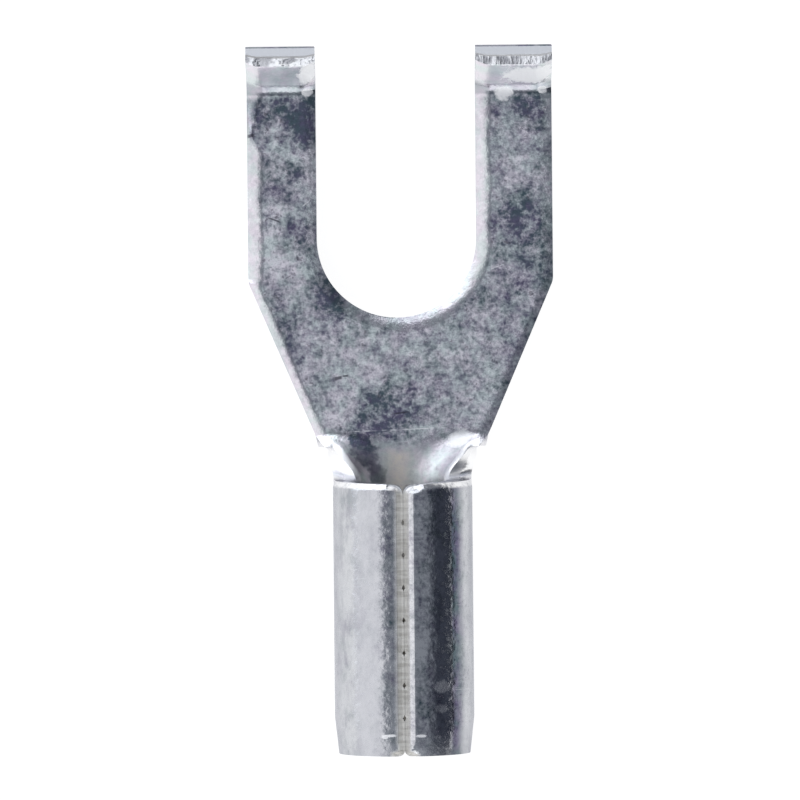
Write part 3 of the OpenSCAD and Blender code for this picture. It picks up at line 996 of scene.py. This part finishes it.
    # Colour: clean tin, tarnish and painted shade, scratches and marks, the warm stain, painted highlights,
    # the bore's painted shade and the flanks
    tint = make.ranged(make.noise(place, 2.3, 3.0), 0.35, 0.65)
    clean_upper = make.mixed(tint, COOL_TIN, PINK_TIN)
    clean = make.mixed(upper, BARREL_TIN, clean_upper)
    hue = make.ranged(make.noise(place, 1.4, 3.0, 0.65), 0.35, 0.65)
    tarnish_and_shade = make.mixed(hue, BLUE_TARNISH_AND_SHADE, VIOLET_TARNISH_AND_SHADE)
    colour = make.mixed(dark, clean, tarnish_and_shade)
    colour = make.mixed(make.math("MULTIPLY", scratch, 0.5), colour, SCRATCHED_TIN)
    broken = make.ranged(make.noise(place, 3.0, 2.0), 0.35, 0.65, 0.05, 0.8)
    bright_marks = make.math("MULTIPLY", all_marks(make, place, BRIGHT_MARKS), broken)
    colour = make.mixed(bright_marks, colour, BRIGHT_MARK_AND_HIGHLIGHT_TIN)
    pits = make.ranged(make.noise(place, 4.6, 3.0, 0.65), 0.63, 0.71, 0.0, 0.6)
    pits = make.math("MULTIPLY", make.math("MULTIPLY", pits, weight), upper)
    dark_marks = make.math("MAXIMUM", pits, make.math("MULTIPLY", all_marks(make, place, DARK_MARKS), 0.8))
    colour = make.mixed(dark_marks, colour, DARK_PIT)
    warm = make.math("MULTIPLY", make.mask("warm"), make.ranged(tarnish, 0.2, 0.8, 0.95, 0.6, "LINEAR"))
    colour = make.mixed(warm, colour, WARM_TIN)
    colour = make.mixed(painted_highlights, colour, BRIGHT_MARK_AND_HIGHLIGHT_TIN)
    # Painted shade inside the bore
    colour = make.mixed(make.math("MULTIPLY", make.mask("bore"), 0.6), colour, BORE_SHADE)
    rows = make.noise(make.stretched(place, (0, 0, 0), (1.5, 11, 1.5)), 1.0, 2.0)
    flank = make.mixed(make.ranged(rows, 0.35, 0.65), DARK_FLANK, PALE_FLANK)
    colour = make.mixed(make.mask("flank"), colour, flank)
    make.join(colour, shader.inputs["Base Color"])

    # Where the surface is less like bare metal
    dull = make.math("MAXIMUM", make.mask("flank"), make.math("MULTIPLY", make.mask("warm"), 0.7))
    on_tip = make.math("MULTIPLY", upper, make.ranged(along, 4.35, 4.6, 0.0, 0.4))
    # The painted highlight spots are made less metallic, so whiter, more on the tips than in the neck
    dull_spots = make.math("MULTIPLY", glint_spots, make.ranged(along, -4.0, 0.0, 0.15, 0.85))
    dull = make.math("MAXIMUM", dull, make.math("MAXIMUM", on_tip, dull_spots))
    # The painted glints at the rear taper are made less metallic too
    dull = make.math("MAXIMUM", dull, make.math("MULTIPLY", glints, 0.8))
    dull = make.math("MAXIMUM", dull, make.math("MULTIPLY", smudges, 0.21))
    make.join(make.math("SUBTRACT", 1.0, dull), shader.inputs["Metallic"])

    # Roughness and relief
    rough = make.ranged(upper, 0.0, 1.0, 0.14, 0.19, "LINEAR")
    rough = make.math("MULTIPLY_ADD", matte, make.ranged(upper, 0.0, 1.0, 0.2, 0.08, "LINEAR"), rough)
    in_neck = make.math("MULTIPLY", upper, make.ranged(along, -5.9, -5.2, 0.22, 0.0))
    rough = make.math("ADD", rough, in_neck)
    rough = make.math("MULTIPLY_ADD", make.mask("rim"), 0.15, rough)
    rough = make.math("MULTIPLY_ADD", glint_spots, 0.2, rough)
    rough = make.math("MULTIPLY_ADD", make.mask("flank"), 0.3, rough)
    rough = make.math("MULTIPLY_ADD", make.mask("bore"), 0.25, rough)
    rough = make.math("MULTIPLY_ADD", make.mask("taper"), 0.25, rough)
    rough = make.math("MULTIPLY_ADD", right_outside, make.ranged(from_lip, 1.0, 1.6, 0.0, 0.13), rough)
    make.join(rough, shader.inputs["Roughness"])
    raised = make.math("SUBTRACT", relief, make.math("MULTIPLY", scratch, 0.1))
    dimples = make.math("MULTIPLY", make.noise(place, 6.0, 1.0, 0.4), 0.9)
    dimples = make.math("MULTIPLY_ADD", relief, 0.7, dimples)
    raised = make.math("MULTIPLY_ADD", raised, upper, make.math("MULTIPLY", dimples, outside))
    make.join(bumped(make, raised, SHEET_RELIEF), shader.inputs["Normal"])
    shader.inputs["Specular Tint"].default_value = GRAZING_TINT
    return material


def cut_edge(mottle, scratches):
    """The cut faces: fine lines where the die rubbed, coarse grains where the sheet tore."""
    material, make, shader = plain_material("cut_edge")
    place = millimetres(make)
    tarnish = make.group(mottle, Place=place, **{"Speck Scale": 9.0})["Tarnish"]
    torn = make.ranged(make.mask("fracture"), 0.42, 0.58)
    flat_place = make.node("ShaderNodeAttribute", attribute_name="blank_place").outputs["Vector"]
    lines = make.noise(make.stretched(flat_place, (0, 0, 0), (14, 14, 1.2)), 1.0, 2.0)
    side = make.node("ShaderNodeSeparateXYZ")
    make.join(flat_place, side.inputs[0])
    on_right = make.ranged(side.outputs[0], -0.5, 0.5)

    # Where the sheet tore there are lumps on the left and ticks on the right, strongest at the tips
    lumps = make.noise(place, 2.7, 3.0, 0.5, 0.3)
    ticks = make.noise(make.stretched(place, (0, 0, 0), (6.5, 2.0, 2.0)), 1.0, 3.0, 0.55, 0.2)
    grains = make.math("MULTIPLY_ADD", on_right, make.math("SUBTRACT", ticks, lumps), lumps)
    scratch = make.group(scratches, Place=place, Spread=0.55)[0]
    # The neck's cut faces carry a painted highlight, and their torn grains are smoothed there
    neck_highlight = make.mask("neck_edge")
    height = make.math("MULTIPLY", lines, 0.12)
    at_tip = make.ranged(side.outputs[1], TIP_END - 0.12, TIP_END - 0.04, 0.3, 1.0)
    rough_torn = make.math("MULTIPLY", torn, make.ranged(neck_highlight, 0.0, 1.0, 1.0, 0.05))
    rough_torn = make.math("MULTIPLY", rough_torn, at_tip)
    grain_height = make.math("MULTIPLY", grains, make.ranged(on_right, 0.0, 1.0, 4.5, 2.4, "LINEAR"))
    height = make.math("MULTIPLY_ADD", rough_torn, grain_height, height)
    height = make.math("SUBTRACT", height, make.math("MULTIPLY", scratch, 0.1))
    # Painted shade in the hollows between the torn grains, with tarnish, a little darker on the right
    hollows = make.ranged(grains, 0.43, 0.56, 1.0, 0.0)
    hollows = make.math("MULTIPLY", hollows, make.ranged(on_right, 0.0, 1.0, 0.55, 0.5, "LINEAR"))
    dark = make.math("MULTIPLY_ADD", tarnish, 0.3, hollows)
    dark = make.math("MULTIPLY_ADD", on_right, 0.1, dark)
    dark = make.math("MULTIPLY", dark, rough_torn)

    torn_tin = make.mixed(at_tip, TORN_SIDE, TORN_TIP)
    rubbed_tin = make.mixed(at_tip, RUBBED_SIDE, RUBBED_TIP)
    clean = make.mixed(torn, rubbed_tin, torn_tin)
    colour = make.mixed(dark, clean, TORN_HOLLOW)
    colour = make.mixed(neck_highlight, colour, BRIGHT_MARK_AND_HIGHLIGHT_TIN)
    make.join(colour, shader.inputs["Base Color"])
    make.join(make.ranged(torn, 0.0, 1.0, 0.34, 0.18, "LINEAR"), shader.inputs["Roughness"])
    make.join(bumped(make, height, TORN_RELIEF), shader.inputs["Normal"])
    make.join(make.ranged(at_tip, 0.3, 1.0, 1.0, 0.5), shader.inputs["Metallic"])
    shader.inputs["Specular Tint"].default_value = GRAZING_TINT
    return material


def pale_floor():
    """A wide pale floor that glows, as a light table does."""
    mesh = bpy.data.meshes.new("floor")
    corners = [(-1, -1), (1, -1), (1, 1), (-1, 1)]
    places = [(x * FLOOR_REACH, y * FLOOR_REACH, -FLOOR_DROP) for x, y in corners]
    mesh.from_pydata(places, [], [(0, 1, 2, 3)])
    floor = bpy.data.objects.new("floor", mesh)
    bpy.context.scene.collection.objects.link(floor)
    material, _, shader = plain_material("floor_pale")
    shader.inputs["Base Color"].default_value = (0.25, 0.25, 0.25, 1)
    shader.inputs["Roughness"].default_value = 0.9
    shader.inputs["Specular IOR Level"].default_value = 0
    shader.inputs["Emission Color"].default_value = (1, 1, 1, 1)
    shader.inputs["Emission Strength"].default_value = 0.9
    mesh.materials.append(material)


def studio_tent():
    """Light from all round: a pale tent, grey overhead, and open and dark on the right."""
    world = bpy.data.worlds.new("studio_tent")
    world.use_nodes = True
    bpy.context.scene.world = world
    make = Tree(world.node_tree)
    direction = make.node("ShaderNodeSeparateXYZ")
    make.join(make.node("ShaderNodeTexCoord").outputs["Generated"], direction.inputs[0])
    right, back, up = direction.outputs
    lean_right = make.math("ARCTAN2", right, up)
    lean_back = make.math("ARCTAN2", back, up)
    degrees = math.pi / 180
    to_back = make.math("ARCTAN2", back, right)
    left_wall = make.ranged(lean_right, -38 * degrees, -26 * degrees, 1.0, 0.0)
    back_wall = make.ranged(lean_back, 30 * degrees, 42 * degrees)
    back_wall = make.math("MULTIPLY", back_wall, make.ranged(to_back, 72 * degrees, 86 * degrees))
    front_wall = make.ranged(lean_back, -45 * degrees, -35 * degrees, 1.0, 0.0)
    overhead = make.ranged(up, 0.974, 0.995)
    lit = make.mixed(overhead, ROUND_THE_TOP, OVERHEAD)
    lit = make.mixed(front_wall, lit, FRONT_WALL)
    lit = make.mixed(left_wall, lit, LEFT_WALL)
    lit = make.mixed(back_wall, lit, BACK_WALL)
    open_side = make.ranged(lean_right, 36 * degrees, 56 * degrees)
    open_side = make.math("MULTIPLY", open_side, make.ranged(to_back, -45 * degrees, -20 * degrees))
    open_side = make.math("MULTIPLY", open_side, make.ranged(to_back, 72 * degrees, 86 * degrees, 1.0, 0.0))
    colour = make.mixed(open_side, lit, OPEN_SIDE)
    make.join(colour, world.node_tree.nodes["Background"].inputs["Color"])


def camera_above():
    """The camera looks straight down, turned a little, as the photograph was taken."""
    lens = bpy.data.cameras.new("camera")
    lens.sensor_width = 36
    lens.lens = CAMERA_LENS
    lens.clip_start = 0.01
    lens.clip_end = 10
    camera = bpy.data.objects.new("camera", lens)
    camera.location = Vector(CAMERA_PLACE) * MM
    camera.rotation_euler = (0, 0, CAMERA_TURN)
    bpy.context.scene.collection.objects.link(camera)
    bpy.context.scene.camera = camera


camera_above()
studio_tent()
pale_floor()
bpy.context.scene.view_settings.view_transform = "Standard"

effects = (mottle_effect(), scratch_effect())
terminal = formed_terminal(tinned_sheet(*effects), cut_edge(*effects))
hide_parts("fork_terminal")
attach(terminal, "root")
